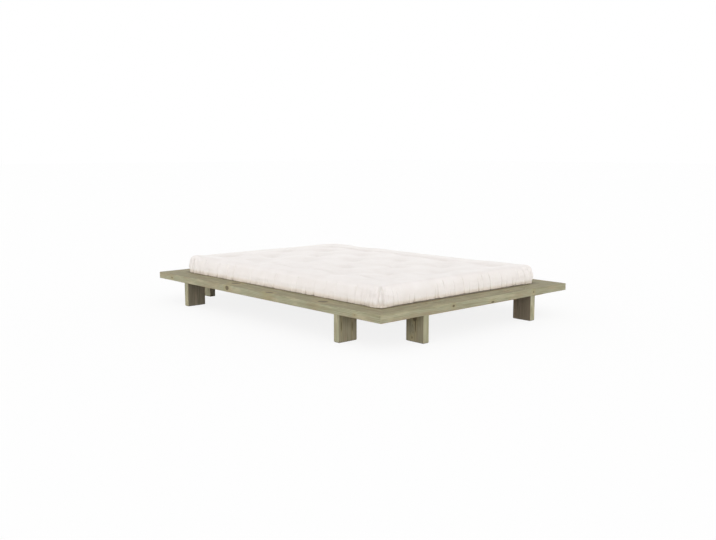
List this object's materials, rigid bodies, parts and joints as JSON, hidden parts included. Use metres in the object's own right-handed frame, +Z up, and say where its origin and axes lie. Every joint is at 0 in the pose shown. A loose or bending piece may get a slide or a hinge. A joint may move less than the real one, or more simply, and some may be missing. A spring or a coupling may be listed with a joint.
{
  "type": "futon bed",
  "caption": "Low platform bed: a wide mitred timber ledge on board legs frames a slatted recess that holds a thick cotton futon.",
  "frame": {"origin": "on the floor, under the middle of the bed", "axes": "+X across the bed, +Y along it towards the head, +Z up"},
  "size_m": [1.7, 2.3, 0.3299],
  "materials": {
    "stained_pine": "satin olive-grey stain over knotty pine",
    "bare_pine": "sawn and planed, unfinished",
    "plywood": "birch ply, unfinished",
    "beech": "fluted dowel, unfinished",
    "cotton_webbing": "woven tape",
    "grey_felt": "pressed felt",
    "futon_cotton": "off-white cotton drill, gathered at the sides",
    "zinc_steel": "zinc plated"
  },
  "bodies": {
    "bed_frame": {"batten_foot": "bare_pine", "batten_head": "bare_pine", "batten_left": "bare_pine", "batten_right": "bare_pine", "batten_screws": "zinc_steel", "bracket_screws": "zinc_steel", "centre_beam": "bare_pine", "centre_post": "bare_pine", "corner_plate_foot": "zinc_steel", "corner_plate_head": "zinc_steel", "corner_plate_left": "zinc_steel", "corner_plate_right": "zinc_steel", "leg_brackets": "zinc_steel", "leg_dowels": "beech", "leg_foot_1": "stained_pine", "leg_foot_2": "stained_pine", "leg_head_1": "stained_pine", "leg_head_2": "stained_pine", "leg_left_1": "stained_pine", "leg_left_2": "stained_pine", "leg_pads": "grey_felt", "leg_right_1": "stained_pine", "leg_right_2": "stained_pine", "plate_screws": "zinc_steel", "rail_foot": "stained_pine", "rail_head": "stained_pine", "rail_left": "stained_pine", "rail_right": "stained_pine", "slat_01": "bare_pine", "slat_02": "bare_pine", "slat_03": "bare_pine", "slat_04": "bare_pine", "slat_05": "bare_pine", "slat_06": "bare_pine", "slat_07": "bare_pine", "slat_08": "bare_pine", "slat_09": "bare_pine", "slat_10": "bare_pine", "slat_11": "bare_pine", "slat_12": "bare_pine", "slat_13": "bare_pine", "slat_14": "bare_pine", "slat_screws": "zinc_steel", "spline_foot": "plywood", "spline_head": "plywood", "spline_left": "plywood", "spline_right": "plywood", "strap_left": "cotton_webbing", "strap_right": "cotton_webbing", "strap_tacks": "zinc_steel"},
    "futon": {"futon": "futon_cotton"}
  },
  "joints": [
    {"name": "futon_lift", "type": "slide", "parent": "bed_frame", "child": "futon", "axis": [0, 0, 1], "range_m": [0, 0.25]}
  ]
}
